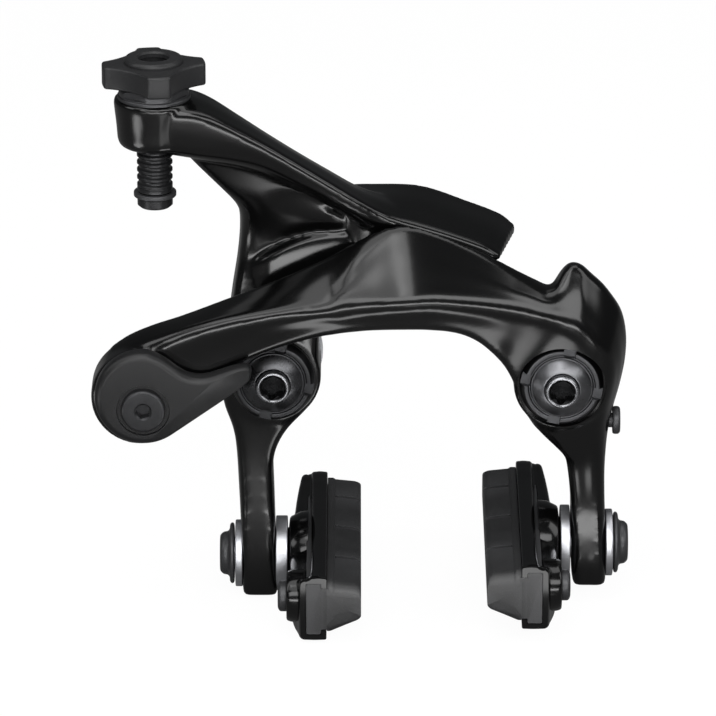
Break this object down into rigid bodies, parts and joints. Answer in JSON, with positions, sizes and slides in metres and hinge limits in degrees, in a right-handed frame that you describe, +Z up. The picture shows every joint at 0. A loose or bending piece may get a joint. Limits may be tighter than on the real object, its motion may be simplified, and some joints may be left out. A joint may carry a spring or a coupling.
{
  "type": "direct mount rim brake caliper",
  "caption": "Symmetrical dual-pivot rim brake caliper that bolts straight to the frame: arching arms, roller link, cable adjuster, release lever and long brake shoes.",
  "frame": {"origin": "midway between the two frame bolts, on the face that meets the bicycle frame", "axes": "+X to the right as seen by someone facing the brake, +Y towards the bicycle frame, +Z up"},
  "size_m": [0.1046, 0.0552, 0.1121],
  "materials": {
    "gloss_black": "gloss",
    "satin_dark": "matte",
    "black_steel": "satin",
    "dark_ring": "satin",
    "grey_steel": "satin",
    "bright_steel": "polished",
    "bush_polymer": "matte",
    "roller_polymer": "matte",
    "pad_rubber": "matte",
    "shoe_black": "gloss"
  },
  "bodies": {
    "frame_side": {"left_frame_bolt": "grey_steel", "left_pivot_sleeve": "grey_steel", "left_lock_ring": "dark_ring", "left_dome_washer": "grey_steel", "left_return_spring": "grey_steel", "right_frame_bolt": "grey_steel", "right_pivot_sleeve": "grey_steel", "right_lock_ring": "dark_ring", "right_dome_washer": "grey_steel", "right_return_spring": "grey_steel"},
    "right_arm_set": {"right_arm": "gloss_black", "right_bush": "bush_polymer", "roller_pin": "grey_steel"},
    "left_arm_set": {"left_arm": "gloss_black", "left_bush": "bush_polymer", "index_collar": "black_steel"},
    "roller": {"sync_roller": "roller_polymer"},
    "centring": {"centring_screw": "black_steel"},
    "knob": {"adjuster_knob": "satin_dark"},
    "barrel": {"adjuster_barrel": "black_steel", "barrel_circlip": "dark_ring"},
    "quick_release": {"quick_release_lever": "satin_dark", "lever_cap_screw": "black_steel", "quick_release_shaft": "grey_steel", "clamp_washer": "grey_steel", "clamp_bolt": "grey_steel"},
    "left_washers": {"left_outer_washer": "bright_steel", "left_inner_washer": "bright_steel"},
    "left_shoe": {"left_stud": "grey_steel", "left_stud_nut": "black_steel", "left_shoe_holder": "shoe_black", "left_pad": "pad_rubber", "left_pad_screw": "black_steel"},
    "right_washers": {"right_outer_washer": "bright_steel", "right_inner_washer": "bright_steel"},
    "right_shoe": {"right_stud": "grey_steel", "right_stud_nut": "black_steel", "right_shoe_holder": "shoe_black", "right_pad": "pad_rubber", "right_pad_screw": "black_steel"}
  },
  "joints": [
    {"name": "right_pivot", "type": "hinge", "parent": "frame_side", "child": "right_arm_set", "pos_m": [0.028, -0.01, 0], "axis": [0, 1, 0], "range_deg": [0, 8], "stiffness_Nm_per_rad": 0.4, "springref_deg": -45.84},
    {"name": "left_pivot", "type": "hinge", "parent": "frame_side", "child": "left_arm_set", "pos_m": [-0.028, -0.009, 0], "axis": [0, -1, 0], "range_deg": [0, 8], "stiffness_Nm_per_rad": 0.4, "springref_deg": -45.84},
    {"name": "roller_spin", "type": "hinge", "parent": "right_arm_set", "child": "roller", "pos_m": [0, -0.015, 0.02], "axis": [0, 1, 0], "continuous": true},
    {"name": "centring_turn", "type": "hinge", "parent": "right_arm_set", "child": "centring", "pos_m": [0.034, -0.012, -0.0104], "axis": [1, 0, 0], "range_deg": [-360, 360]},
    {"name": "knob_turn", "type": "hinge", "parent": "left_arm_set", "child": "knob", "pos_m": [-0.0505, -0.0175, 0.0625], "axis": [0, 0, 1], "range_deg": [-720, 720]},
    {"name": "barrel_slide", "type": "slide", "parent": "left_arm_set", "child": "barrel", "axis": [0, 0, 1], "range_m": [-0.003, 0.003]},
    {"name": "lever_open", "type": "hinge", "parent": "right_arm_set", "child": "quick_release", "pos_m": [-0.0528, -0.026, -0.0005], "axis": [0, 1, 0], "range_deg": [0, 90]},
    {"name": "left_shoe_height", "type": "slide", "parent": "left_arm_set", "child": "left_washers", "axis": [0, 0, 1], "range_m": [-0.002, 0.002]},
    {"name": "left_shoe_tilt", "type": "hinge", "parent": "left_washers", "child": "left_shoe", "pos_m": [-0.03075, -0.012, -0.0385], "axis": [1, 0, 0], "range_deg": [-8, 8]},
    {"name": "right_shoe_height", "type": "slide", "parent": "right_arm_set", "child": "right_washers", "axis": [0, 0, 1], "range_m": [-0.002, 0.002]},
    {"name": "right_shoe_tilt", "type": "hinge", "parent": "right_washers", "child": "right_shoe", "pos_m": [0.0337, -0.012, -0.0362], "axis": [1, 0, 0], "range_deg": [-8, 8]}
  ],
  "couplings": [
    {"joint": "left_pivot", "follows": "right_pivot", "ratio": 1},
    {"joint": "barrel_slide", "follows": "knob_turn", "m_per_rad": -0.0002387}
  ]
}
